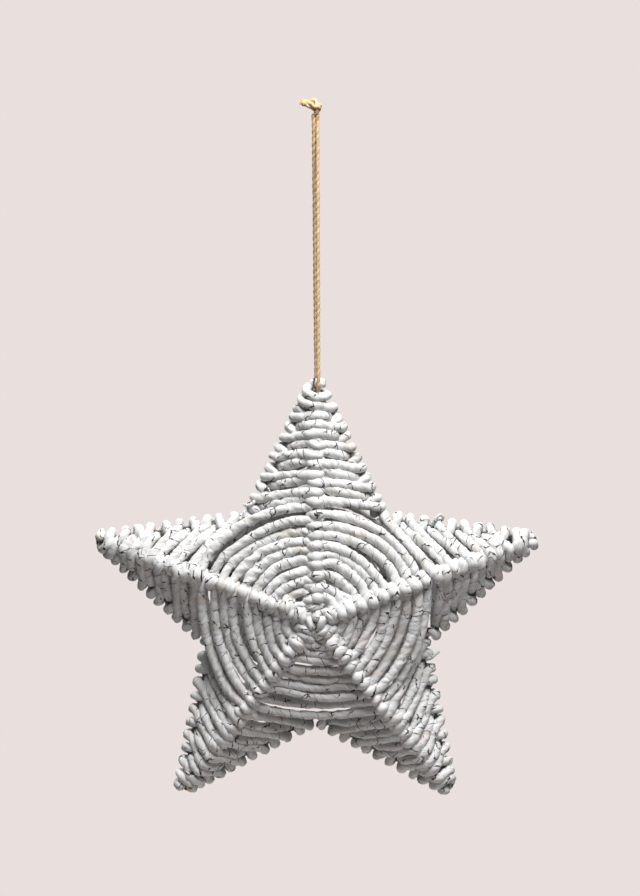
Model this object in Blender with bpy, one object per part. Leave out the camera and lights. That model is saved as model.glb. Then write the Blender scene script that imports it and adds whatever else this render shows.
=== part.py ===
"""A hanging five-pointed star woven from twisted paper rope over a welded wire frame.

The origin is the hanging point, under the knot of the twine. Z is up, the star's flat middle plane
is XZ and its front looks towards -Y. All sizes are in metres.
"""
import math

import bmesh
import bpy
from mathutils import Vector

# Frame of wire
wire_reach = 0.155
notch_reach = 0.076
peak_height = 0.042
wire_diameter = 0.0017
weld_diameter = 0.0026
first_bead_step = 0.0001
wire_sides = 6

# Rope and how it is laid
rope_diameter = 0.0058
strand_gap = 0.0004
touch_gap = 0.0003
rope_bevel_resolution = 1
first_turn_share = 0.3
edge_turn_share = 0.75
back_turn_share = 0.45
front_turn_share = 0.55
bare_edge = 0.0085
ring_reach_top = 0.074
ring_reach_side = 0.082
ring_reach_bottom = 0.080
upper_bulge = 0.19
side_bulge = 0.14
bottom_bulge = 0.09
bulge_sink = 0.5
ring_pitch = 0.0084
ring_corners = [2, 2, 1, 2, 2]

# Twine that it hangs on
hanging_drop = 0.178
twine_diameter = 0.0026
twine_bend = 0.0055
twine_bevel_resolution = 2
leg_steps = 25
bend_steps = 2
knot_lobe = 0.00178
knot_rise = 2.6 * knot_lobe
knot_depth = 0.0020
knot_sweep = math.radians(140)
knot_steps = 14
tail_start_aside = 2.5 * knot_lobe
tail_start_drop = 1.1 * knot_lobe
tail_length = 0.0046
tail_rise = 0.0023
knot_foot_aside = 0.2 * knot_lobe

arm_count = 5
arm_turn = math.tau / arm_count
front = -1
back = 1

# Worked out from the sizes above
wire_radius = wire_diameter / 2
rope_radius = rope_diameter / 2
twine_radius = twine_diameter / 2
rope_over_wire = wire_radius + rope_radius + touch_gap
strand_pitch = rope_diameter + strand_gap
notch_along = notch_reach * math.cos(arm_turn / 2)
notch_aside = notch_reach * math.sin(arm_turn / 2)
tip_half_angle = math.atan2(notch_aside, wire_reach - notch_along)
facet_angle = math.atan2(peak_height / wire_reach, math.tan(tip_half_angle))
rope_over_ridge = rope_over_wire / math.cos(facet_angle)
first_turn_drop = first_turn_share * rope_radius
second_turn_drop = first_turn_drop + strand_pitch
twine_drop = second_turn_drop + rope_radius + twine_radius + 2 * touch_gap
below_twine_drop = twine_drop + rope_radius + twine_radius + 2 * touch_gap
star_top = hanging_drop - first_turn_drop + rope_radius
star_centre = Vector((0, 0, -star_top - wire_reach))
ring_reaches = [ring_reach_top, ring_reach_side, ring_reach_bottom, ring_reach_bottom, ring_reach_side]
ring_bulges = [upper_bulge, side_bulge, bottom_bulge, side_bulge, upper_bulge]
bead_radius = weld_diameter / 2
first_bead_radius = bead_radius - first_bead_step


def place(arm, face, along, aside, depth):
    """World point from a place along an arm, beside its middle line and off the star's middle plane."""
    angle = arm * arm_turn
    outward = Vector((math.sin(angle), 0, math.cos(angle)))
    sideways = Vector((math.cos(angle), 0, -math.sin(angle)))
    return star_centre + outward * along + sideways * aside + Vector((0, face * depth, 0))


def ridge_depth(along):
    """How far the ridge wire stands off the middle plane."""
    return peak_height * (1 - along / wire_reach)


def edge_width(along):
    """How far the edge wire runs beside the arm's middle line."""
    return (wire_reach - along) * math.tan(tip_half_angle)


def clear_scene():
    for old in list(bpy.data.objects):
        bpy.data.objects.remove(old, do_unlink=True)


def new_collection(name):
    collection = bpy.data.collections.new(name)
    bpy.context.scene.collection.children.link(collection)
    return collection


def new_material(name, colour, roughness, metallic):
    material = bpy.data.materials.new(name)
    material.use_nodes = True
    shader = material.node_tree.nodes["Principled BSDF"]
    shader.inputs["Base Color"].default_value = (*colour, 1)
    shader.inputs["Roughness"].default_value = roughness
    shader.inputs["Metallic"].default_value = metallic
    material.diffuse_color = (*colour, 1)
    return material


def tube(name, points, diameter, bevel_resolution, material, collection):
    """A round strand of one thickness through the points, closed at both ends."""
    curve = bpy.data.curves.new(name, "CURVE")
    curve.dimensions = "3D"
    curve.resolution_u = 1
    curve.bevel_depth = diameter / 2
    curve.bevel_resolution = bevel_resolution
    curve.use_fill_caps = True
    spline = curve.splines.new("POLY")
    spline.points.add(len(points) - 1)
    for corner, point in zip(spline.points, points):
        corner.co = (*point, 1)
    curve.materials.append(material)
    strand = bpy.data.objects.new(name, curve)
    collection.objects.link(strand)
    return strand


def straight_wire(name, start, end, collection):
    """A straight rod between two points."""
    run = end - start
    shape = bmesh.new()
    bmesh.ops.create_cone(
        shape, cap_ends=True, segments=wire_sides, radius1=wire_radius, radius2=wire_radius, depth=run.length
    )
    mesh = bpy.data.meshes.new(name)
    shape.to_mesh(mesh)
    shape.free()
    rod = bpy.data.objects.new(name, mesh)
    rod.rotation_mode = "QUATERNION"
    rod.rotation_quaternion = run.to_track_quat("Z", "Y")
    rod.location = (start + end) / 2
    collection.objects.link(rod)
    return rod


def weld(name, centre, collection):
    """The small bead of metal where wires meet."""
    shape = bmesh.new()
    bmesh.ops.create_icosphere(shape, subdivisions=1, radius=bead_radius)
    mesh = bpy.data.meshes.new(name)
    shape.to_mesh(mesh)
    shape.free()
    bead = bpy.data.objects.new(name, mesh)
    bead.location = centre
    collection.objects.link(bead)
    return bead


def build_wire_frame(material, parts, cutters):
    """The star's outline and its ten ridges, welded into one piece."""
    tips = [place(arm, front, wire_reach, 0, 0) for arm in range(arm_count)]
    notches = [place(arm, front, notch_along, notch_aside, 0) for arm in range(arm_count)]
    peaks = [place(0, face, 0, 0, peak_height) for face in (front, back)]
    pieces = []
    for arm in range(arm_count):
        next_tip = tips[(arm + 1) % arm_count]
        pieces.append(straight_wire(f"edge_wire_out_{arm + 1}", tips[arm], notches[arm], cutters))
        pieces.append(straight_wire(f"edge_wire_in_{arm + 1}", notches[arm], next_tip, cutters))
        for peak, face_name in zip(peaks, ("front", "back")):
            pieces.append(straight_wire(f"{face_name}_ridge_wire_{arm + 1}", peak, tips[arm], cutters))
    for number, joint in enumerate(tips + notches + peaks):
        pieces.append(weld(f"weld_{number + 1}", joint, cutters))
    for piece in pieces:
        piece.hide_render = True
        piece.display_type = "WIRE"
    frame = bpy.data.objects.new("wire_frame", bpy.data.meshes.new("wire_frame"))
    shape = bmesh.new()
    bmesh.ops.create_icosphere(shape, subdivisions=1, radius=first_bead_radius)
    shape.to_mesh(frame.data)
    shape.free()
    frame.location = tips[0]
    frame.data.materials.append(material)
    parts.objects.link(frame)
    join = frame.modifiers.new("welded", "BOOLEAN")
    join.operation = "UNION"
    join.solver = "EXACT"
    join.operand_type = "COLLECTION"
    join.collection = cutters
    return frame


def turn_places(arm):
    """Where each turn of rope crosses the ridge, from the tip to the outermost ring."""
    places = [wire_reach - first_turn_drop, wire_reach - second_turn_drop]
    if arm == 0:
        places.append(wire_reach - below_twine_drop)
    last = ring_reaches[arm] + strand_pitch
    room = places[-1] - last
    steps = int(room / strand_pitch)
    pitch = room / steps
    start = places[-1]
    places += [start - pitch * (step + 1) for step in range(steps)]
    return places


def edge_place(along_ridge, arm):
    """Where the strand that crosses the ridge here goes round the edge wire."""
    last_ridge = ring_reaches[arm] + strand_pitch
    last_edge = notch_along + bare_edge
    spread = (wire_reach - last_edge) / (wire_reach - last_ridge)
    return wire_reach - (wire_reach - along_ridge) * spread


def edge_corner(along):
    """How far aside and how deep the strand lies where it starts to go round the edge wire."""
    past_wire = edge_turn_share * rope_over_wire
    aside = edge_width(along) + past_wire * math.cos(facet_angle) + rope_over_wire * math.sin(facet_angle)
    depth = rope_over_wire * math.cos(facet_angle) - past_wire * math.sin(facet_angle)
    return aside, depth


def arm_rope_points(arm):
    """Rope wound round one arm: over the front ridge, round an edge, over the back ridge and on."""
    places = turn_places(arm)
    points = []
    for number, along in enumerate(places):
        over_ridge = ridge_depth(along) + rope_over_ridge
        edge = edge_place(along, arm)
        aside, depth = edge_corner(edge)
        points.append(place(arm, front, along, 0, over_ridge))
        points.append(place(arm, front, edge, aside, depth))
        points.append(place(arm, back, edge, aside, depth))
        points.append(place(arm, back, along, 0, over_ridge))
        if number == len(places) - 1:
            break
        next_edge = edge_place(places[number + 1], arm)
        back_turn = edge + (next_edge - edge) * back_turn_share
        front_turn = edge + (next_edge - edge) * front_turn_share
        aside, depth = edge_corner(back_turn)
        points.append(place(arm, back, back_turn, -aside, depth))
        aside, depth = edge_corner(front_turn)
        points.append(place(arm, front, front_turn, -aside, depth))
    aside, depth = edge_corner(edge)
    points.append(place(arm, back, edge, -aside, depth))
    return points


def ring_place(face, arm, along):
    """Where a ring of rope crosses a ridge wire."""
    return place(arm, face, along, 0, ridge_depth(along) + rope_over_ridge)


def centre_rope_points(face):
    """Rope laid in rings from ridge to ridge round the raised middle, starting on the peak."""
    inner = rope_diameter + 2 * touch_gap
    rounds = int((min(ring_reaches) - inner) / ring_pitch)
    over_peak = peak_height + bead_radius + rope_radius + touch_gap
    stations = rounds * arm_count
    points = [place(0, face, 0, 0, over_peak)]
    for station in range(stations):
        arm = station % arm_count
        next_arm = (station + 1) % arm_count
        along = inner + (ring_reaches[arm] - inner) * station / stations
        next_along = inner + (ring_reaches[next_arm] - inner) * (station + 1) / stations
        here = ring_place(face, arm, along)
        there = ring_place(face, next_arm, next_along)
        points.append(here)
        for step in range(ring_corners[arm]):
            share = (step + 1) / (ring_corners[arm] + 1)
            on_chord = here.lerp(there, share)
            shift = on_chord - star_centre
            shift.y = 0
            shift *= ring_bulges[arm] * math.sin(math.pi * share)
            shift.y = -face * shift.length * bulge_sink
            points.append(on_chord + shift)
    points.append(there)
    return points


def twine_points():
    """The doubled twine: down in front, through the top tip under the second turn, and up behind."""
    beside_ridge = wire_radius + twine_radius + touch_gap
    beside_knot = twine_radius + touch_gap
    low = star_centre.z + wire_reach - twine_drop
    second_turn_depth = ridge_depth(wire_reach - second_turn_drop) + rope_over_ridge
    leg_depth = second_turn_depth + rope_radius + twine_radius + 2 * touch_gap

    def leg(face, aside):
        top = Vector((aside, 0, -touch_gap))
        foot = Vector((beside_ridge, face * leg_depth, low + twine_bend))
        return [top.lerp(foot, step / leg_steps) for step in range(leg_steps + 1)]

    def bend(face):
        points = []
        for step in range(1, bend_steps + 1):
            swing = math.pi / 2 * step / bend_steps
            depth = leg_depth - twine_bend * (1 - math.cos(swing))
            points.append(Vector((beside_ridge, face * depth, low + twine_bend * (1 - math.sin(swing)))))
        return points

    down = leg(front, beside_knot) + bend(front)
    up = leg(back, -beside_knot) + bend(back)
    return down + list(reversed(up))


def knot_points():
    """An overhand knot over the legs, with its cut tail to the left."""
    middle = Vector((0, 0, knot_rise + twine_radius + touch_gap))
    corners = []
    for step in range(knot_steps + 1):
        t = knot_sweep * (1 - 2 * step / knot_steps)
        x = math.sin(t) + 2 * math.sin(2 * t)
        z = math.cos(t) - 2 * math.cos(2 * t)
        corners.append(middle + Vector((x * knot_lobe, -math.sin(3 * t) * knot_depth, z * knot_lobe)))
    tail_bend = middle + Vector((-tail_start_aside, 0, -tail_start_drop))
    tail_end = tail_bend + Vector((-tail_length, 0, tail_rise))
    foot = Vector((knot_foot_aside, 0, twine_radius + touch_gap))
    return [tail_end, tail_bend] + corners + [foot]


def main():
    clear_scene()
    parts = new_collection("woven star ornament")
    cutters = new_collection("wires before welding")
    painted_rope = new_material("whitewashed rope", (0.80, 0.79, 0.76), 0.85, 0.0)
    bare_wire = new_material("grey wire", (0.42, 0.41, 0.39), 0.45, 0.9)
    jute = new_material("jute twine", (0.58, 0.42, 0.24), 0.9, 0.0)
    build_wire_frame(bare_wire, parts, cutters)
    for arm in range(arm_count):
        name = f"arm_rope_{arm + 1}"
        tube(name, arm_rope_points(arm), rope_diameter, rope_bevel_resolution, painted_rope, parts)
    for face, name in ((front, "front_centre_rope"), (back, "back_centre_rope")):
        tube(name, centre_rope_points(face), rope_diameter, rope_bevel_resolution, painted_rope, parts)
    tube("hanging_twine", twine_points(), twine_diameter, twine_bevel_resolution, jute, parts)
    tube("twine_knot", knot_points(), twine_diameter, twine_bevel_resolution, jute, parts)


main()
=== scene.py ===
# %% [markdown]
# # A woven star of whitewashed paper rope, hanging on jute twine
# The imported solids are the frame: they say where every piece is and how big it is. This script gives them
# their looks. The rope, the twine and the knot are made again as real strands in the same places, and the
# wire frame keeps its solid. First come the sizes, the camera and the twine, then the rope, the finishes and
# the light.

# %% Load the solids
import math
import random

import bpy
import numpy as np
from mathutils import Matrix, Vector


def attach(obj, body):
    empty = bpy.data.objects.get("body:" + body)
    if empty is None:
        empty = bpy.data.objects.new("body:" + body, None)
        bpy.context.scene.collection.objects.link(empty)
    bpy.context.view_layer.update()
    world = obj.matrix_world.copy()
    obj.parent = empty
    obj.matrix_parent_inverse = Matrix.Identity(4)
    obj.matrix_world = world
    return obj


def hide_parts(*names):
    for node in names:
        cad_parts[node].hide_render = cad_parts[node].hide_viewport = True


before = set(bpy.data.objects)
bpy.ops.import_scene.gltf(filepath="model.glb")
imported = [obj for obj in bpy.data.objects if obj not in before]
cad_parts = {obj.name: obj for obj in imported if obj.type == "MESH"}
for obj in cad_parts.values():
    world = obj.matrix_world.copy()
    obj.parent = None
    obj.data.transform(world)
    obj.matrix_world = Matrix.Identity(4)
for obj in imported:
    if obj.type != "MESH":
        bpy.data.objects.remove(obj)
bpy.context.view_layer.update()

# %% [markdown]
# ## Sizes
# All lengths are in metres and repeat those of the solids. A millimetre has a name of its own here, so that
# every size below can be read as it would be measured on the real thing.

# %% Sizes of the star
mm = 0.001
wire_reach = 155 * mm
notch_reach = 76 * mm
peak_height = 42 * mm
wire_radius = 0.85 * mm
rope_radius = 2.9 * mm
twine_radius = 1.3 * mm
touch_gap = 0.3 * mm
strand_pitch = 6.2 * mm
hanging_drop = 178 * mm
arm_count = 5
arm_turn = math.tau / arm_count
front = -1
back = 1
print(arm_count, "arms,", round(2 * wire_reach / mm), "mm across the circle through their wire tips")

# %% [markdown]
# ## Sizes that follow
# The rest is worked out: how steep the woven faces lie, how far the middle of a strand stays from a wire, and
# how far below the end of the wires the turns at the tip and the twine lie. The origin is the point under the
# knot, and the star hangs below it.

# %% Sizes that follow from those
notch_along = notch_reach * math.cos(arm_turn / 2)
notch_aside = notch_reach * math.sin(arm_turn / 2)
tip_half_angle = math.atan2(notch_aside, wire_reach - notch_along)
facet_angle = math.atan2(peak_height / wire_reach, math.tan(tip_half_angle))
rope_over_wire = wire_radius + rope_radius + touch_gap
rope_over_ridge = rope_over_wire / math.cos(facet_angle)
twine_under_rope = rope_radius + twine_radius + 2 * touch_gap
first_turn_drop = 0.3 * rope_radius
second_turn_drop = first_turn_drop + strand_pitch
twine_drop = second_turn_drop + twine_under_rope
below_twine_drop = twine_drop + twine_under_rope
star_top = hanging_drop - first_turn_drop + rope_radius
star_centre = Vector((0, 0, -star_top - wire_reach))
print("star centre", [round(number, 4) for number in star_centre])

# %% [markdown]
# ## Places on the star
# Every arm is the same triangle turned about the middle, so a place is given by how far along the arm it
# lies, how far aside of its middle line, and how deep in front of or behind the flat middle plane.

# %% Places along an arm
def place(arm, face, along, aside, depth):
    angle = arm * arm_turn
    outward = Vector((math.sin(angle), 0, math.cos(angle)))
    sideways = Vector((math.cos(angle), 0, -math.sin(angle)))
    return star_centre + outward * along + sideways * aside + Vector((0, face * depth, 0))


def ridge_depth(along):
    return peak_height * (1 - along / wire_reach)


def edge_width(along):
    return (wire_reach - along) * math.tan(tip_half_angle)


print("beside the notch an arm is", round(2 * edge_width(notch_along) / mm), "mm wide and the ridge stands",
      round(ridge_depth(notch_along) / mm), "mm out")

# %% [markdown]
# ## The camera
# The star is seen level from its front and from a little above, because its raised middle shows below the
# crossing of its arms. A long lens far away keeps the arms parallel, as in a catalogue picture.

# %% Camera
photo_width = 640
photo_height = 896
photo_scale = 0.681 * mm
star_pixel = (315.6, 608)
camera_elevation = math.radians(8.5)
camera_distance = 2.5
sensor_height = 24

forward = Vector((0, math.cos(camera_elevation), -math.sin(camera_elevation)))
upward = Vector((0, math.sin(camera_elevation), math.cos(camera_elevation)))
aim = star_centre + upward * (star_pixel[1] - photo_height / 2) * photo_scale
aim += Vector((1, 0, 0)) * (photo_width / 2 - star_pixel[0]) * photo_scale
camera = bpy.data.objects.new("camera", bpy.data.cameras.new("camera"))
camera.data.sensor_fit = "VERTICAL"
camera.data.sensor_height = sensor_height
camera.data.lens = sensor_height * camera_distance / (photo_height * photo_scale)
camera.location = aim - forward * camera_distance
camera.rotation_euler = forward.to_track_quat("-Z", "Y").to_euler()
bpy.context.scene.collection.objects.link(camera)
bpy.context.scene.camera = camera
print("lens", round(camera.data.lens, 1), "mm")

# %% [markdown]
# ## Smooth routes
# Rope and twine follow smooth curves through a few chosen points. A curve object could do that, but here each
# point also carries how thick the rope is there, and the points have to end up evenly spaced, so that twist
# and creases keep the same size all along. So the curve is sampled by a formula and then spaced anew.

# %% Routes
samples_a_stretch = 24


def run_along(points):
    """How far along the route each point lies."""
    steps = np.linalg.norm(np.diff(points[:, :3], axis=0), axis=1)
    return np.concatenate([[0], np.cumsum(steps)])


def smooth_route(corners, spacing):
    """Evenly spaced rows on a smooth curve through the corners: x, y and z, and whatever else a corner holds."""
    p = np.array([tuple(corner) for corner in corners])
    p = np.vstack([2 * p[0] - p[1], p, 2 * p[-1] - p[-2]])
    t = np.linspace(0, 1, samples_a_stretch, endpoint=False)[:, None]
    runs = []
    for p0, p1, p2, p3 in zip(p, p[1:], p[2:], p[3:]):
        bend = (p2 - p0) * t + (2 * p0 - 5 * p1 + 4 * p2 - p3) * t ** 2
        runs.append(p1 + (bend + (3 * p1 - p0 - 3 * p2 + p3) * t ** 3) / 2)
    fine = np.vstack(runs + [p[-2:-1]])
    lengths = run_along(fine)
    goals = np.linspace(0, lengths[-1], max(4, round(lengths[-1] / spacing)) + 1)
    return np.stack([np.interp(goals, lengths, column) for column in fine.T], axis=1)


def route_length(points):
    return float(run_along(points)[-1])


# %% [markdown]
# ## Sweeping a strand
# A strand is a ring of points carried along its route and joined into a skin. A bevelled curve is the quick
# way, but its ring is the same all along. Here every point of the skin has a radius of its own, so plies,
# folds and creases are real shape. The ring is carried without turning, so that only the twist turns it.

# %% Ring and faces of a strand
off_every_axis = (0.31, 0.77, 0.55)


def carried_frames(points):
    """Two directions across the route at every point, turned as little as possible."""
    along = np.gradient(points, axis=0)
    along /= np.linalg.norm(along, axis=1)[:, None]
    start = np.cross(along[0], off_every_axis)
    across = [start / np.linalg.norm(start)]
    for direction in along[1:]:
        turned = across[-1] - direction * across[-1].dot(direction)
        across.append(turned / np.linalg.norm(turned))
    across = np.array(across)
    return across, np.cross(along, across)


def tube_faces(count, sides):
    """The faces between the rings, and a fan at either end round a point in its middle."""
    row = np.arange(sides)
    after = (row + 1) % sides
    base = np.arange(count - 1)[:, None] * sides
    quads = np.stack([base + row, base + after, base + sides + after, base + sides + row], axis=2)
    faces = quads.reshape(-1, 4).tolist()
    last = (count - 1) * sides
    faces += [(count * sides, int(b), int(a)) for a, b in zip(row, after)]
    faces += [(count * sides + 1, int(last + a), int(last + b)) for a, b in zip(row, after)]
    return faces


# %% [markdown]
# ## Where a point lies in its strand
# Each point of the skin keeps how far along the strand it lies and where across it, with the twist taken
# out. The finishes read that place instead of the one in the room, so fibres and creases follow the twist
# whichever way the strand runs.

# %% Skin of a strand
def places_in_strand(lengths, angles, radii, twist):
    untwisted = angles[None, :] - twist * lengths[:, None]
    mean = radii.mean()
    far_along = np.broadcast_to(lengths[:, None], radii.shape)
    rows = np.stack([far_along, mean * np.cos(untwisted), mean * np.sin(untwisted)], axis=2)
    return np.vstack([rows.reshape(-1, 3), [[0, 0, 0]], [[lengths[-1], 0, 0]]])


def in_the_scene(name, mesh):
    piece = bpy.data.objects.new(name, mesh)
    bpy.context.scene.collection.objects.link(piece)
    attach(piece, "root")
    return piece


def strand(name, points, radii, twist):
    """A closed skin round the points. radii has one row for each point and one column for each side."""
    count, sides = radii.shape
    angles = np.linspace(0, math.tau, sides, endpoint=False)
    across, over = carried_frames(points)
    ring = np.cos(angles)[None, :, None] * across[:, None, :] + np.sin(angles)[None, :, None] * over[:, None, :]
    skin = (points[:, None, :] + ring * radii[:, :, None]).reshape(-1, 3)
    mesh = bpy.data.meshes.new(name)
    mesh.from_pydata(np.vstack([skin, points[:1], points[-1:]]).tolist(), [], tube_faces(count, sides))
    mesh.shade_smooth()
    kept = mesh.attributes.new("strand_place", "FLOAT_VECTOR", "POINT")
    kept.data.foreach_set("vector", places_in_strand(run_along(points), angles, radii, twist).ravel())
    return in_the_scene(name, mesh)


# %% [markdown]
# ## The route of the twine
# One length of jute runs down in front, over the first turn of rope at the top tip, in under the second, and
# up behind. Its way through the tip is a few listed points, between the turns of rope. Both legs hang
# straight, because the star's weight pulls them taut.

# %% Route of the twine
twine_bend = 5.5 * mm
leg_steps = 20
beside_knot = twine_radius
turn_depth = ridge_depth(wire_reach - second_turn_drop) + rope_over_ridge
leg_depth = turn_depth + twine_under_rope
way_in = [
    (1.9, -9.1, 1.6), (1.9, -6.3, 4.7), (2.0, -3.6, 7.4), (2.1, -3.1, 9.6), (2.3, -1.7, 11.5), (2.4, 0, 12.1),
]


def at_tip(aside, depth, drop):
    """A place near the top tip, given by how far below the end of the wires it lies."""
    return star_centre + Vector((aside, depth, wire_reach - drop))


def leg(start, end):
    return [start.lerp(end, step / leg_steps) for step in range(leg_steps + 1)]


def twine_corners():
    """Down in front, in through the tip, round a quarter turn and up outside at the back."""
    corners = leg(Vector((beside_knot, 0, -touch_gap)), at_tip(1.9 * mm, -9.4 * mm, -1.5 * mm))
    corners += [at_tip(aside * mm, depth * mm, drop * mm) for aside, depth, drop in way_in]
    for share in (0.75, 0.5, 0.25):
        depth = leg_depth - twine_bend * (1 - math.cos(math.pi / 2 * share))
        drop = twine_drop - twine_bend * (1 - math.sin(math.pi / 2 * share))
        corners.append(at_tip((0.5 + 1.8 * share) * mm, depth, drop))
    foot = at_tip(0.5 * mm, leg_depth, twine_drop - twine_bend)
    return corners + leg(foot, Vector((-beside_knot, 0, -touch_gap)))


twine_path = smooth_route(twine_corners(), 0.55 * mm)
print("twine", round(route_length(twine_path), 4), "m from knot to knot")

# %% [markdown]
# ## Two plies
# Jute twine is two plies laid round each other, one full turn every nine millimetres. Each ply is a lobe in
# the ring of radii, with a groove on either side. Hand-spun plies are uneven, so the radius also drifts.

# %% Twine
twine_twist = math.tau / (9 * mm)
groove = 0.80
ply_rise = 0.28
drift_spacing = 6 * mm
drift_marks = 400


def plied_radii(points, sides, rng):
    """High on each of the two plies and low in the grooves between them."""
    lengths = run_along(points)
    angles = np.linspace(0, math.tau, sides, endpoint=False)[None, :] - twine_twist * lengths[:, None]
    marks = np.arange(0, lengths[-1] + 20 * mm, drift_spacing)
    drift = np.interp(lengths, marks, rng.normal(1, 0.05, drift_marks)[:len(marks)])
    lobes = groove + ply_rise * np.abs(np.cos(angles))
    return twine_radius * drift[:, None] * lobes * rng.normal(1, 0.012, angles.shape)


twine = strand("jute_twine", twine_path, plied_radii(twine_path, 16, np.random.default_rng(3)), twine_twist)
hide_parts("hanging_twine")
print("twine", round(2 * twine_radius / mm, 1), "mm thick,", len(twine.data.polygons), "faces")

# %% [markdown]
# ## The knot
# Both ends of the twine go through one overhand knot together. It shows as a lump of crossing strands, and
# the two cut ends stick out to the left and swell where they come untwisted. A knot could be tied by a
# simulation, but a dozen chosen points give this one its place. Two strands run side by side along them.

# %% Knot
knot_line = [
    (1.0, -0.8, 3.0), (0.9, -0.8, 6.4), (-0.8, 0.3, 8.9), (-3.0, 1.2, 7.8), (-2.6, 1.6, 5.0), (0.2, 1.9, 3.6),
    (2.6, 0.7, 4.6), (2.2, -1.7, 6.0), (-0.8, -2.5, 5.6), (-3.4, -1.6, 6.6), (-5.8, -0.6, 7.6), (-8.0, 0, 8.2),
]
knot_turn = 0.9
side_by_side = 1.05
cut_ends_apart = 1.9
tail_flare = 6 * mm


def knot_corners(side):
    """One of the two strands of the knot, from the end of its leg and then beside the common line."""
    corners = [Vector((side * beside_knot, 0, -1.6 * mm)), Vector((side * beside_knot, 0, 0))]
    for number, (x, y, z) in enumerate(knot_line):
        turn = (number + 1) * knot_turn + (0 if side > 0 else math.pi)
        spread = side_by_side if number < len(knot_line) - 1 else cut_ends_apart
        away = Vector((0.3 * math.cos(turn), math.sin(turn), math.cos(turn))) * spread
        corners.append((Vector((x, y, z)) + away) * mm)
    return corners


knot = []
for side, word in ((1, "first"), (-1, "second")):
    path = smooth_route(knot_corners(side), 0.45 * mm)
    to_the_cut = route_length(path) - run_along(path)
    swell = 1 + 0.35 * np.clip(1 - to_the_cut / tail_flare, 0, 1)[:, None]
    skin = plied_radii(path, 14, np.random.default_rng(6 + side)) * swell
    knot.append(strand(f"knot_{word}_end", path, skin, twine_twist))
    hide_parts("twine_knot")
    print(knot[-1].name, round(route_length(path), 4), "m")

# %% [markdown]
# ## Loose jute fibres
# Jute is hairy. Fine fibres stand off the twine all along, and a tuft of them ends each cut strand. A hair
# system would do it too, but these fibres have to be plain mesh, so they are thin three-sided tubes gathered
# in two pieces, one on the twine and one on the knot.

# %% One fibre and a bundle of them
fibre_points = 6
third_turns = (0, math.tau / 3, 2 * math.tau / 3)


def fibre(start, direction, length, curl, rng):
    """Points of one loose fibre that leaves at the start and curls."""
    side = np.cross(direction, rng.normal(0, 1, 3))
    side /= np.linalg.norm(side)
    shares = np.linspace(0, 1, fibre_points)[:, None]
    return start + length * (direction * shares + side * curl * shares ** 2)


def fibre_bundle(name, fibres, radius):
    """All the fibres as one piece of three-sided tubes that get thinner towards their ends."""
    vertices = []
    faces = []
    for points in fibres:
        first = len(vertices)
        across, over = carried_frames(points)
        for number, point in enumerate(points):
            thin = radius * (1 - 0.6 * number / fibre_points)
            for turn in third_turns:
                off = across[number] * math.cos(turn) + over[number] * math.sin(turn)
                vertices.append(tuple(point + off * thin))
        for base in range(first, first + 3 * (fibre_points - 1), 3):
            faces += [(base + a, base + b, base + 3 + b, base + 3 + a) for a, b in ((0, 1), (1, 2), (2, 0))]
        last = len(vertices) - 3
        faces += [(first + 2, first + 1, first), (last, last + 1, last + 2)]
    mesh = bpy.data.meshes.new(name)
    mesh.from_pydata(vertices, [], faces)
    piece = in_the_scene(name, mesh)
    print(name, len(fibres), "fibres")
    return piece


# %% Hairs on the twine
hair_rng = np.random.default_rng(21)
hairs = []
for number in range(150):
    index = int(hair_rng.integers(4, len(twine_path) - 5))
    along = twine_path[index + 1] - twine_path[index]
    outward = hair_rng.normal(0, 1, 3)
    outward /= np.linalg.norm(outward)
    direction = along / np.linalg.norm(along) * hair_rng.choice((-1, 1)) + outward * 0.5
    direction /= np.linalg.norm(direction)
    start = twine_path[index] + outward * twine_radius * 0.8
    hairs.append(fibre(start, direction, hair_rng.uniform(2, 4.5) * mm, 0.25, hair_rng))
twine_hair = fibre_bundle("twine_hairs", hairs, 0.07 * mm)

# %% Tufts at the cut ends
tuft = []
for side in (1, -1):
    end = np.array(knot_corners(side)[-1])
    for number in range(60):
        direction = np.array((-1.0, 0, 0.1)) + hair_rng.normal(0, 0.42, 3)
        direction /= np.linalg.norm(direction)
        start = end + hair_rng.normal(0, 0.55, 3) * mm
        tuft.append(fibre(start, direction, hair_rng.uniform(1.2, 2.8) * mm, 0.2, hair_rng))
knot_tuft = fibre_bundle("knot_tuft", tuft, 0.16 * mm)

# %% [markdown]
# ## The jute pieces
# The twine is limp, and nothing but the star's weight keeps it straight. Here the twine, its fibres and
# the knot are gathered in one list, which takes the jute finish further down.

# %% Jute pieces
jute_pieces = [twine, twine_hair, knot_tuft] + knot

# %% [markdown]
# ## Where the rope turns
# On each arm the rope crosses the ridge at even steps from the tip down to the outermost ring, and goes
# round an edge wire after every crossing. Near the middle it leans over towards the run of the rings, and it
# leaves a little of each edge wire bare beside the notch.

# %% Turns of the rope
ring_reaches = [74 * mm, 82 * mm, 80 * mm, 80 * mm, 82 * mm]
ring_bulges = [0.19, 0.14, 0.09, 0.14, 0.19]
bare_edges = [
    {-1: 10 * mm, 1: 10 * mm}, {-1: 5 * mm, 1: 13 * mm}, {-1: 4 * mm, 1: 9 * mm}, {-1: 9 * mm, 1: 4 * mm},
    {-1: 13 * mm, 1: 5 * mm},
]
paper_radius = 3.2 * mm
paper_pitch = 6.3 * mm
clear = wire_radius + paper_radius


def edge_place(along_ridge, arm, side):
    """Where the strand that crosses the ridge here goes round the edge wire on that side."""
    last_ridge = ring_reaches[arm] + strand_pitch
    last_edge = notch_along + bare_edges[arm][side]
    return wire_reach - (wire_reach - along_ridge) * (wire_reach - last_edge) / (wire_reach - last_ridge)


def crossings(arm):
    """Where the rope crosses the ridge, from below the tip turns to the outermost ring."""
    start = wire_reach - (below_twine_drop - 2 * mm if arm == 0 else second_turn_drop + 0.75 * paper_pitch)
    room = start - ring_reaches[arm] - 0.8 * paper_pitch
    steps = round(room / paper_pitch)
    return [start - room * step / steps for step in range(steps + 1)]


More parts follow.
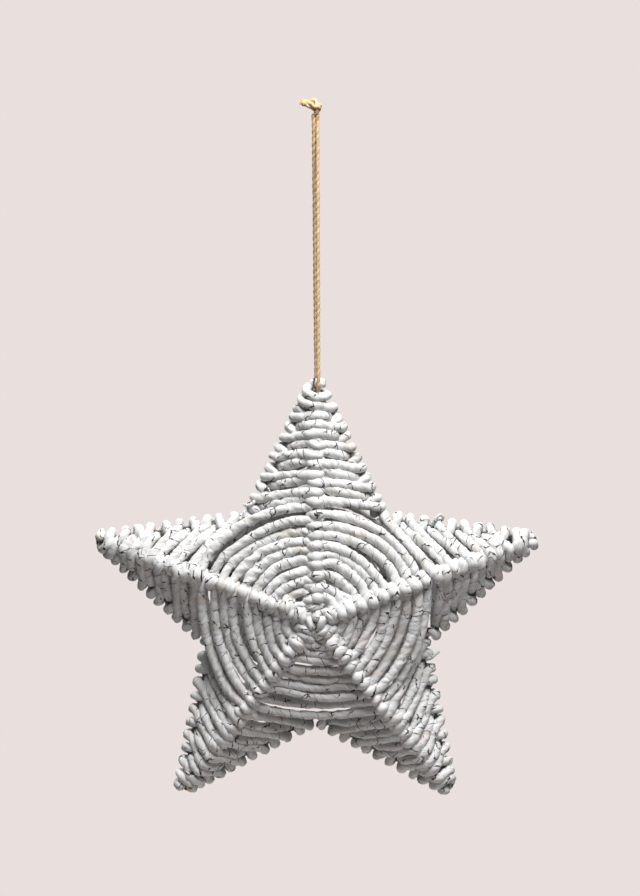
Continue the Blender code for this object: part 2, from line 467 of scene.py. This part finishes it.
print("crossings on each arm", [len(crossings(arm)) for arm in range(arm_count)])

# %% [markdown]
# ## Turns round the tip and the ridge
# At the very tip the front rope goes twice round all the wires. Further in, where the arm is deep enough, it
# goes once round the ridge wire at every crossing, which gives the ridge its row of thick turns. Every point
# of a route also says how thick the rope is there, because it is squeezed where it bends.

# %% Round the tip and over the ridge
tip_turn_points = 8
deep_enough = 9 * mm
ridge_half_turn = 1.6 * mm


def corner(point, thickness=1.0):
    """A point of a route with how thick the rope is there."""
    return (*point, thickness)


def tip_turn(arm, along, next_along, lift, jitter):
    """One turn round everything at the tip, drifting on to the next turn on its left half."""
    corners = []
    half = tip_turn_points // 2
    for turn in range(tip_turn_points):
        angle = turn * math.tau / tip_turn_points
        here = along + max(0, turn - half) / half * (next_along - along) + jitter.gauss(0, 0.3 * mm)
        aside = (edge_width(here) + clear) * math.sin(angle)
        depth = (ridge_depth(here) + clear + lift * max(0, math.cos(angle))) * math.cos(angle)
        corners.append(corner(place(arm, front, here, aside, depth), 1.1 if turn % half == 0 else 0.95))
    return corners


def over_ridge(arm, face, along, side, jitter):
    """Over the ridge to that side. Where the arm is deep enough, the rope first goes once round the ridge wire."""
    depth = ridge_depth(along)
    if depth < deep_enough:
        return [corner(place(arm, face, along, 0, depth + clear * 1.15), 1.18)]
    lean = jitter.gauss(0.8, 0.4) * mm
    first = along + ridge_half_turn
    second = along - ridge_half_turn
    return [
        corner(place(arm, face, first, -side * lean, depth + clear * 0.75), 0.85),
        corner(place(arm, face, (first + along) / 2, side * clear, depth), 0.8),
        corner(place(arm, face, along, 0, depth - clear), 0.75),
        corner(place(arm, face, (second + along) / 2, -side * clear, depth), 0.9),
        corner(place(arm, face, second, side * lean, depth + clear * 1.3), jitter.gauss(1.25, 0.05)),
    ]


# %% [markdown]
# ## Rope wound over an arm
# Front and back are woven apart. From the ridge a strand goes over the edge wire, round under it and back
# inside, so along an edge the wraps of the front and of the back take turns. Small random shifts keep any two
# turns from being alike, and their seed keeps them the same each time.

# %% Route of the rope over one side of an arm
return_drop = 6.8 * mm


def over_facet(arm, face, along, aside, lift):
    """A place on the woven face: as deep as the facet there, and raised by the rope on top of it."""
    share = 1 - abs(aside) / edge_width(along)
    return place(arm, face, along, aside, ridge_depth(along) * max(0, share) + lift)


def round_edge(arm, face, edge, inside, side):
    """Over the edge wire, round under it and back inside."""
    width = edge_width(edge)
    inward = max(edge_width(inside) - clear * 0.95, edge_width(inside) * 0.35)
    return [
        corner(place(arm, face, edge, side * (width - 0.6 * mm), clear * 1.05), 1.05),
        corner(place(arm, face, edge - 0.5 * mm, side * (width + clear), -0.2 * mm), 1.05),
        corner(place(arm, face, edge - return_drop / 2, side * (width - 0.3 * mm), -clear), 0.9),
        corner(place(arm, face, inside, side * inward, 0.8 * mm), 0.97),
    ]


def arm_corners(arm, face, jitter):
    places = crossings(arm)
    corners = []
    if face == front:
        over_twine = 1.8 * mm if arm == 0 else 0
        first = wire_reach - first_turn_drop + over_twine * 0.3
        second = wire_reach - second_turn_drop - over_twine
        corners += tip_turn(arm, first, second, 0, jitter)
        corners += tip_turn(arm, second, places[0], over_twine, jitter)
    side = -face
    inside = None
    for along in places:
        edge = edge_place(along, arm, side) + jitter.gauss(0, 0.5 * mm)
        along += jitter.gauss(0, 0.45 * mm)
        lift = clear + jitter.gauss(0, 0.3) * mm
        if inside is not None:
            back_in = inside + (along - inside) * 0.4
            aside = -side * edge_width(inside) * 0.64
            corners.append(corner(over_facet(arm, face, back_in, aside, lift * 0.95), 1.1))
        corners += over_ridge(arm, face, along, side, jitter)
        middle = along + (edge - along) * jitter.uniform(0.45, 0.6)
        corners.append(corner(over_facet(arm, face, middle, side * edge_width(edge) * 0.5, lift), 1.12))
        inside = edge - return_drop + jitter.gauss(0, 0.4 * mm)
        corners += round_edge(arm, face, edge, inside, side)
        side = -side
    return corners


# %% [markdown]
# ## The skin of paper rope
# The rope is crumpled paper twisted into a cord. Its skin has two deep folds that wind along it, soft
# crumples, and here and there a crease across it, and no stretch is quite as thick as the next. All of that
# could be painted as bumps, but it shows along the outline, so it is put into the radii.

# %% Folds, crumples and creases
rope_sides = 14
rope_step = 0.8 * mm
rope_twist = math.tau / (26 * mm)
fold_count = 2
folds_apart = 2.6
fold_depth = 0.12
fold_width = 0.34
crease_spacing = 6.5 * mm
crease_width = 0.55 * mm
pinched_end = 2 * mm


def wander(rng, lengths, spacing, spread):
    """A value that drifts slowly along the strand, one for each point."""
    count = int(lengths[-1] / spacing) + 3
    return np.interp(lengths, np.arange(count) * spacing, rng.normal(0, spread, count))[:, None]


def folds(shape, lengths, angles, rng):
    for fold in range(fold_count):
        off = angles - fold * folds_apart - wander(rng, lengths, 8 * mm, 0.5)
        off = np.angle(np.exp(1j * off))
        shape -= (fold_depth + wander(rng, lengths, 6 * mm, 0.05)) * np.exp(-(off / fold_width) ** 2)


def crumples(shape, lengths, angles, rng):
    shape += wander(rng, lengths, 12 * mm, 0.07) * np.cos(2 * angles + wander(rng, lengths, 15 * mm, 1.5))
    shape += wander(rng, lengths, 7 * mm, 0.05)
    for lobes in (2, 3, 4):
        shape += 0.03 * np.cos(lobes * angles + wander(rng, lengths, 3 * mm, 1.6))


def cross_creases(shape, lengths, angles, rng):
    for middle in np.arange(3 * mm, lengths[-1], crease_spacing):
        off = lengths[:, None] - middle - rng.uniform(-3, 3) * mm
        off = off - rng.uniform(-2, 2) * mm * np.cos(angles + rng.uniform(0, math.tau))
        shape -= rng.uniform(0.04, 0.14) * np.exp(-(off / crease_width) ** 2)


# %% Skin of the paper rope
def paper_radii(points, thickness, rng):
    """Radii of the crumpled rope. Its ends are pinched to half the thickness."""
    lengths = run_along(points)
    angles = np.linspace(0, math.tau, rope_sides, endpoint=False)[None, :] - rope_twist * lengths[:, None]
    shape = np.ones((len(points), rope_sides))
    for work_over in (folds, crumples, cross_creases):
        work_over(shape, lengths, angles, rng)
    shape += rng.normal(0, 0.008, shape.shape)
    from_end = np.minimum(np.minimum(lengths, lengths[-1] - lengths) / pinched_end, 1)
    return paper_radius * shape * thickness[:, None] * (0.55 + 0.45 * from_end)[:, None]


def rope(name, corners, seed):
    rows = smooth_route(corners, rope_step)
    radii = paper_radii(rows[:, :3], rows[:, 3], np.random.default_rng(seed))
    piece = strand(name, rows[:, :3], radii, rope_twist)
    print(name, round(route_length(rows), 2), "m of rope,", 2 * len(piece.data.polygons), "triangles")
    return piece


# %% Rope on the arms
faces_of_star = ((front, "front"), (back, "back"))
ropes = []
for arm in range(arm_count):
    for face, word in faces_of_star:
        seed = 10 + arm * 2 + (face > 0)
        wound = rope(f"{word}_wound_rope_{arm + 1}", arm_corners(arm, face, random.Random(seed)), seed)
        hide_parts(f"arm_rope_{arm + 1}")
        ropes.append(wound)

# %% [markdown]
# ## Close turns on the peak
# On the raised middle the rope starts with close turns round each ridge wire, out along one wire and back
# along the next. They get looser further out, and show as a knobbly cluster.

# %% Peak
peak_turns = 5
peak_pitch = 4.5 * mm
peak_start = 4.5 * mm
point_of_peak = 9 * mm


def peak_corners(face, jitter):
    corners = [corner(place(0, face, 0, 0, peak_height + clear * 1.05), 1.1)]
    quarters = peak_turns * 4
    for arm in range(arm_count):
        for step in range(quarters) if arm % 2 == 0 else reversed(range(quarters)):
            along = peak_start + peak_pitch * step / 4 + jitter.gauss(0, 0.5 * mm)
            angle = step * math.tau / 4
            reach = clear * jitter.uniform(0.9, 1.15)
            spread = 1 + 0.4 * along / (peak_turns * peak_pitch)
            aside = reach * spread * math.sin(angle) + jitter.gauss(0, 0.8 * mm)
            depth = ridge_depth(along) + reach * math.cos(angle) - (0.8 * mm if along < point_of_peak else 0)
            corners.append(corner(place(arm, face, along, aside, depth), jitter.uniform(0.82, 1.02)))
    return corners


# %% [markdown]
# ## From ridge to ridge
# Between the ridges the rope isn't straight. It arches outwards, more above the peak than below it, and sinks
# a little behind the straight line. A short stretch has one point between its ends, and a long one has three.

# %% One stretch between two ridges
short_stretch = 15 * mm
crowded_reach = 34 * mm


def span_corners(start, end, bulge, crowd, jitter):
    corners = []
    slack = jitter.gauss(0, 0.75 * mm)
    sunk = jitter.gauss(0.3, 0.8) + 1.5 * crowd
    thickness = jitter.uniform(0.92, 1.06) + 1.1 * (bulge - min(ring_bulges)) - 0.15 * crowd
    for share in (0.22, 0.5, 0.78) if (end - start).length > short_stretch else (0.5,):
        on_chord = start.lerp(end, share)
        shift = on_chord - star_centre
        face = math.copysign(1, shift.y)
        shift.y = 0
        shift *= bulge * math.sin(math.pi * share)
        shift += shift.normalized() * (slack + jitter.gauss(0, 0.5 * mm))
        shift.y = -face * (shift.length * 0.5 + (sunk + jitter.gauss(0, 0.3)) * mm)
        corners.append(corner(on_chord + shift, thickness * jitter.uniform(0.96, 1.04)))
    return corners


# %% [markdown]
# ## Rings round the raised middle
# From the peak the rope runs outwards in nine rounds from ridge to ridge, and takes one full turn round each
# ridge wire before it goes on. These turns lie on the ridges like beads. Near the peak they are crowded, so
# they are smaller there.

# %% Rope in rings
ring_rounds = 9
ring_start = 14 * mm
bead_pitch = 4.2 * mm


def bead_corners(arm, face, along, crowd, jitter):
    """One full turn round a ridge wire, from the place where the rope arrives to the one where it leaves."""
    half = bead_pitch / 2 * (1 - 0.2 * crowd)
    depth = ridge_depth(along)
    turn = clear * (1 - 0.2 * crowd)
    tilt = jitter.gauss(1.0, 0.5) * mm
    rise = jitter.gauss(1.0, 0.3) * mm
    return [
        (place(arm, face, along - half, -tilt, depth + turn * (0.95 - 0.3 * crowd)), 0.95 - 0.15 * crowd),
        (place(arm, face, along - half * 0.5, turn, depth), 0.85),
        (place(arm, face, along, 0, depth - turn), 0.8),
        (place(arm, face, along + half * 0.5, -turn, depth), 0.95),
        (place(arm, face, along + half, tilt, depth + turn * 1.2 + rise), None),
        (place(arm, face, along + half, turn, depth + turn * 0.5), 0.95),
    ]


def ring_corners(face, jitter):
    stations = ring_rounds * arm_count
    corners = peak_corners(face, jitter)
    leaving = None
    for station in range(stations + 1):
        arm = station % arm_count
        along = ring_start + (ring_reaches[arm] - ring_start) * station / stations + jitter.gauss(0, 0.6 * mm)
        crowd = max(0, 1 - along / crowded_reach)
        bead = bead_corners(arm, face, along, crowd, jitter)
        if leaving is not None:
            corners += span_corners(leaving, bead[0][0], ring_bulges[(station - 1) % arm_count], crowd, jitter)
        top_thickness = jitter.gauss(1.2, 0.05) + 0.1 * crowd
        corners += [corner(point, thickness or top_thickness) for point, thickness in bead]
        leaving = bead[-1][0]
    tucked = place(0, face, along - 3 * mm, 2.5 * clear, ridge_depth(along) - 1.5 * clear)
    return corners + [corner(tucked, 0.7)]


for face, word in faces_of_star:
    rings = rope(f"{word}_rings_rope", ring_corners(face, random.Random(40 + face)), 40 + face)
    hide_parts(f"{word}_centre_rope")
    ropes.append(rings)

# %% [markdown]
# ## Loose ends
# A few ends of the paper rope, untwisted to a thin core, stick out where a length was started or finished.
# Each is a short strand that gets thinner towards its end.

# %% Loose ends
loose_ends = [
    [(79, -3, 58), (81, -5, 62), (84, -5, 65), (86.5, -3, 63.5), (86, -1.5, 61)],
    [(75, -3, -35), (79, -5, -33.5), (82, -4.5, -31), (84.5, -4, -29.5)],
    [(-40, -4, 75), (-44, -6, 72.5), (-47, -5, 71.5), (-49, -5, 72.5)],
]
loose_sides = 8
for number, line in enumerate(loose_ends):
    path = smooth_route([star_centre + Vector(point) * mm for point in line], 0.5 * mm)
    taper = np.linspace(1.3 * mm, 0.7 * mm, len(path))[:, None]
    rough = np.random.default_rng(90 + number).normal(1, 0.12, (len(path), loose_sides))
    loose = strand(f"loose_end_{number + 1}", path, taper * rough, rope_twist)
    ropes.append(loose)
print(len(ropes), "pieces of rope")

# %% [markdown]
# ## Finishes made of nodes
# One small function adds a node with its settings and its links, and every finish is a list of such nodes.
# Colours are written as they are read off a screen and turned into the light that the shader works with.

# %% Colours and nodes
def linear(hex_colour):
    values = [int(hex_colour[i:i + 2], 16) / 255 for i in (0, 2, 4)]
    return [v / 12.92 if v <= 0.04045 else ((v + 0.055) / 1.055) ** 2.4 for v in values] + [1]


def node(tree, kind, settings=None, stops=(), **inputs):
    """Adds a node. An input goes by its name or its number, as _0, and takes a value, a socket or a node."""
    made = tree.nodes.new(kind)
    for name, value in (settings or {}).items():
        setattr(made, name, value)
    for name, value in inputs.items():
        socket = made.inputs[int(name[1:]) if name[1:].isdigit() else name.replace("_", " ")]
        if isinstance(value, bpy.types.Node):
            value = value.outputs[0]
        if isinstance(value, bpy.types.NodeSocket):
            tree.links.new(value, socket)
        else:
            socket.default_value = value
    for number, (where, colour) in enumerate(stops):
        marks = made.color_ramp.elements
        mark = marks[number] if number < 2 else marks.new(where)
        mark.position = where
        mark.color = colour
    return made


def new_material(name):
    material = bpy.data.materials.new(name)
    material.use_nodes = True
    print("finish", name)
    return material, material.node_tree, material.node_tree.nodes["Principled BSDF"]


white = (1, 1, 1, 1)
black = (0, 0, 0, 1)

# %% [markdown]
# ## Grain of a real size
# Most of what the eye reads as material is uneven colour in grains of some size. The size is given in metres,
# so a grain of 4 mm is 4 mm on the real rope. A number below one in stretch draws the grain out that way.

# %% Grain
def grain(tree, where, stretch, size, detail, roughness=0.55):
    stretched = node(tree, "ShaderNodeVectorMath", {"operation": "MULTIPLY"}, _0=where, _1=stretch)
    return node(
        tree, "ShaderNodeTexNoise", Vector=stretched, Scale=1 / size, Detail=detail, Roughness=roughness
    )


# %% [markdown]
# ## Painted shade in the creases
# Where the paper is bent, the shade in its folds is painted as thin dark lines across the strand. They could be
# painted by hand. Here the strand is counted off in even steps on a tilted plane, each step has a line in its
# middle, a random number for the step says whether the line is there, and grain frays it and breaks it off.

# %% Painted crease shade
def creases(tree, where, tilt, spacing, width, chance):
    along = node(tree, "ShaderNodeVectorMath", {"operation": "DOT_PRODUCT"}, _0=where, _1=(1, *tilt))
    wobble = grain(tree, where, (1, 1, 1), 2.6 * mm, 2.0)
    along = node(
        tree, "ShaderNodeMath", {"operation": "MULTIPLY_ADD"}, _0=wobble, _1=2.2 * mm, _2=along.outputs["Value"]
    )
    counted = node(tree, "ShaderNodeMath", {"operation": "DIVIDE"}, _0=along, _1=spacing)
    number = node(tree, "ShaderNodeMath", {"operation": "FLOOR"}, _0=counted)
    share = node(tree, "ShaderNodeMath", {"operation": "FRACT"}, _0=counted)
    off = node(tree, "ShaderNodeMath", {"operation": "SUBTRACT"}, _0=share, _1=0.5)
    off = node(tree, "ShaderNodeMath", {"operation": "ABSOLUTE"}, _0=off)
    drawn = node(tree, "ShaderNodeTexWhiteNoise", {"noise_dimensions": "1D"}, W=number)
    present = node(tree, "ShaderNodeMath", {"operation": "LESS_THAN"}, _0=drawn, _1=chance)
    whole = grain(tree, where, (1, 1, 1), 4.3 * mm, 1.0)
    whole = node(tree, "ShaderNodeMath", {"operation": "SUBTRACT"}, _0=whole, _1=0.36)
    half_width = node(tree, "ShaderNodeMath", {"operation": "MULTIPLY"}, _0=whole, _1=width * 5 / spacing)
    inside = node(tree, "ShaderNodeMath", {"operation": "SUBTRACT"}, _0=half_width, _1=off)
    sharp = node(tree, "ShaderNodeMapRange", Value=inside, From_Min=0.0, From_Max=width * 0.4 / spacing)
    return node(tree, "ShaderNodeMath", {"operation": "MULTIPLY"}, _0=sharp, _1=present)


def all_crease_shade(tree, where):
    """Painted shade in the creases: two sets of long lines, and fine ones that show only where the paper is
    frayed.
    """
    steep = creases(tree, where, (0.9, 0.3), 7.3 * mm, 0.34 * mm, 0.5)
    shallow = creases(tree, where, (-0.4, 0.7), 10.9 * mm, 0.30 * mm, 0.6)
    fine = creases(tree, where, (0.6, -0.8), 2.1 * mm, 0.22 * mm, 0.8)
    frayed = grain(tree, where, (0.7, 0.7, 0.7), 14 * mm, 1.0)
    frayed = node(tree, "ShaderNodeValToRGB", stops=[(0.60, black), (0.66, white)], Fac=frayed)
    fine = node(tree, "ShaderNodeMath", {"operation": "MULTIPLY"}, _0=fine, _1=frayed)
    long = node(tree, "ShaderNodeMath", {"operation": "MAXIMUM"}, _0=steep, _1=shallow)
    return node(tree, "ShaderNodeMath", {"operation": "MAXIMUM"}, _0=long, _1=fine)


# %% [markdown]
# ## Spots without paint
# In two places the brush missed the paper, which is a yellowish brown. Such a spot is everything closer than
# some distance to a place on the star, with grain added to the distance to make its edge ragged.

# %% Bare paper
bare_paper_spots = [
    (star_centre + Vector((-88, -6, -126)) * mm, 5 * mm), (star_centre + Vector((-150, -4, 48)) * mm, 6 * mm),
]


def bare_patch(tree, colour, spot_place, reach):
    here = node(tree, "ShaderNodeTexCoord").outputs["Object"]
    away = node(tree, "ShaderNodeVectorMath", {"operation": "DISTANCE"}, _0=here, _1=spot_place)
    ragged = grain(tree, here, (1, 1, 1), 2.4 * mm, 2.0)
    edge = node(
        tree, "ShaderNodeMath", {"operation": "MULTIPLY_ADD"}, _0=ragged, _1=reach, _2=away.outputs["Value"]
    )
    missed = node(tree, "ShaderNodeMath", {"operation": "LESS_THAN"}, _0=edge, _1=reach * 1.25)
    share = node(tree, "ShaderNodeMath", {"operation": "MULTIPLY"}, _0=missed, _1=0.75)
    mixed = node(tree, "ShaderNodeMix", {"data_type": "RGBA"}, _0=share, _6=colour, _7=linear("D9C08A"))
    return mixed.outputs[2]


# %% [markdown]
# ## Whitewashed paper
# Twisted kraft paper with a coat of chalky paint. The coat is off-white, thin in streaks that follow the
# twist, stained a little brown or pink in blots, and dotted with dark specks. Thin dark lines across it are
# painted shade in the creases. Chalk on paper has no gloss at all, so the roughness is high, as for plaster,
# and the eye reads the rope from its shade alone.

# %% Rope material
def painted_paper(tree, where, streak):
    """The coat of paint: blots of slightly different whites, streaks where it is thin, and the missed spots."""
    blot = grain(tree, where, (0.5, 1, 1), 17 * mm, 2.0)
    paint = node(tree, "ShaderNodeValToRGB", stops=[
        (0.30, linear("D2CEC6")), (0.42, linear("E4E4E3")), (0.62, linear("ECECEE")), (0.74, linear("E6D9D0")),
    ], Fac=blot)
    thin = node(tree, "ShaderNodeValToRGB", stops=[(0.36, linear("C4BFB6")), (0.55, white)], Fac=streak)
    washed = node(
        tree, "ShaderNodeMix", {"data_type": "RGBA", "blend_type": "MULTIPLY"}, _0=0.45, _6=paint, _7=thin
    ).outputs[2]
    for spot_place, reach in bare_paper_spots:
        washed = bare_patch(tree, washed, spot_place, reach)
    return washed


def build_rope_material():
    material, tree, shader = new_material("whitewashed_paper")
    where = node(tree, "ShaderNodeAttribute", {"attribute_name": "strand_place"}).outputs["Vector"]
    streak = grain(tree, where, (0.16, 1, 1), 1.1 * mm, 2.0)
    # Thin dark lines across the strand: painted shade in the creases of the paper.
    painted_crease_shade = all_crease_shade(tree, where)
    specks = grain(tree, where, (1, 1, 1), 10.5 * mm, 3.0, 0.6)
    specks = node(tree, "ShaderNodeValToRGB", stops=[(0.70, black), (0.74, white)], Fac=specks)
    # The dark brown below covers both the painted crease shade and the soot specks.
    dark = node(tree, "ShaderNodeMath", {"operation": "MAXIMUM"}, _0=painted_crease_shade, _1=specks)
    washed = painted_paper(tree, where, streak)
    coloured = node(tree, "ShaderNodeMix", {"data_type": "RGBA"}, _0=dark, _6=washed, _7=linear("3B322C"))
    tree.links.new(coloured.outputs[2], shader.inputs["Base Color"])
    shader.inputs["Roughness"].default_value = 0.82
    wrinkles = node(tree, "ShaderNodeBump", Strength=0.35, Distance=0.3 * mm, Height=streak)
    grooves = node(
        tree, "ShaderNodeBump", {"invert": True}, Strength=0.7, Distance=0.5 * mm, Height=painted_crease_shade, Normal=wrinkles
    )
    tree.links.new(grooves.outputs[0], shader.inputs["Normal"])
    return material


rope_material = build_rope_material()
for piece in ropes:
    piece.data.materials.append(rope_material)

# %% [markdown]
# ## Jute
# A plant fibre, spun and laid up in two plies. Its fibres lie along the plies, some paler and some darker,
# and its golden brown drifts slowly along the twine. Dry fibre has no gloss, so the roughness is near the top.
# Real fibres are a few hundredths of a millimetre thick. These are drawn a third of a millimetre wide to show.

# %% Twine material
def build_jute_material():
    material, tree, shader = new_material("twisted_jute")
    where = node(tree, "ShaderNodeAttribute", {"attribute_name": "strand_place"}).outputs["Vector"]
    fibres = grain(tree, where, (0.10, 1, 1), 0.31 * mm, 3.0, 0.6)
    patches = grain(tree, where, (1, 1, 1), 3.8 * mm, 2.0)
    tone = node(tree, "ShaderNodeValToRGB", stops=[
        (0.30, linear("B99468")), (0.50, linear("EACBA0")), (0.70, linear("FFEBCB")),
    ], Fac=fibres)
    drift = node(tree, "ShaderNodeValToRGB", stops=[(0.35, linear("C9B497")), (0.65, white)], Fac=patches)
    mixed = node(
        tree, "ShaderNodeMix", {"data_type": "RGBA", "blend_type": "MULTIPLY"}, _0=0.45, _6=tone, _7=drift
    )
    tree.links.new(mixed.outputs[2], shader.inputs["Base Color"])
    shader.inputs["Roughness"].default_value = 0.88
    bump = node(tree, "ShaderNodeBump", Strength=0.9, Distance=0.2 * mm, Height=fibres)
    tree.links.new(bump.outputs[0], shader.inputs["Normal"])
    return material


jute_material = build_jute_material()
for piece in jute_pieces:
    piece.data.materials.append(jute_material)

# %% [markdown]
# ## Wire
# The frame is drawn steel wire that has gone grey. A metal would be fully metallic, and the thin dull skin
# takes a little of that away and blurs its reflections. It shows only in the gaps between the strands.

# %% Wire material
def build_wire_material():
    material, tree, shader = new_material("drawn_steel")
    where = node(tree, "ShaderNodeTexCoord").outputs["Object"]
    marks = grain(tree, where, (1, 1, 1), 1.1 * mm, 3.0)
    tone = node(tree, "ShaderNodeValToRGB", stops=[(0.3, linear("7D7A74")), (0.7, linear("A7A49D"))], Fac=marks)
    tree.links.new(tone.outputs[0], shader.inputs["Base Color"])
    shader.inputs["Metallic"].default_value = 0.85
    shader.inputs["Roughness"].default_value = 0.5
    bump = node(tree, "ShaderNodeBump", Strength=0.3, Distance=0.1 * mm, Height=marks)
    tree.links.new(bump.outputs[0], shader.inputs["Normal"])
    return material


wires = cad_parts["wire_frame"]
wires.data.materials.clear()
wires.data.materials.append(build_wire_material())

# %% [markdown]
# ## Floor
# The picture shows only a plain warm grey behind the star, and no floor. So the floor is a pale disc well
# below, in the same colour, and out of the picture.

# %% Floor
backdrop = linear("E9E0DD")
floor_drop = 0.6
bpy.ops.mesh.primitive_circle_add(vertices=96, radius=0.5, fill_type="NGON")
floor = bpy.context.object
floor.name = "floor"
floor.location = (0, 0, star_centre.z - floor_drop)
floor_material, floor_tree, floor_shader = new_material("pale_floor")
floor_shader.inputs["Base Color"].default_value = backdrop
floor_shader.inputs["Roughness"].default_value = 0.9
floor.data.materials.append(floor_material)

# %% [markdown]
# ## Light
# The camera sees the world in the colour of the backdrop, and the star gets only a tenth of its light, so
# that gaps between strands stay dark. One large soft light above in front makes the upper faces nearly white
# and leaves the lower ones grey. A weaker one behind does the same for the back.

# %% World and lamps
ambient = 0.10
world = bpy.data.worlds.new("studio")
world.use_nodes = True
bpy.context.scene.world = world
sky = world.node_tree
sky.nodes.clear()
seen = node(sky, "ShaderNodeBackground", Color=backdrop, Strength=1.0)
lit = node(sky, "ShaderNodeBackground", Color=linear("EEF0E8"), Strength=ambient)
ray = node(sky, "ShaderNodeLightPath").outputs["Is Camera Ray"]
chosen = node(sky, "ShaderNodeMixShader", _0=ray, _1=lit, _2=seen)
node(sky, "ShaderNodeOutputWorld", Surface=chosen)


def soft_light(name, direction, distance, size, watts):
    lamp = bpy.data.objects.new(name, bpy.data.lights.new(name, "AREA"))
    lamp.data.shape = "DISK"
    lamp.data.size = size
    lamp.data.energy = watts
    towards = Vector(direction).normalized()
    lamp.location = star_centre + towards * distance
    lamp.rotation_euler = (-towards).to_track_quat("-Z", "Y").to_euler()
    bpy.context.scene.collection.objects.link(lamp)
    print(name, "light", watts, "W")


soft_light("key", (0.15, -0.40, 0.90), 1.6, 1.2, 43)
soft_light("back", (-0.45, 0.75, 0.75), 1.6, 0.8, 16)
bpy.context.scene.view_settings.view_transform = "Standard"
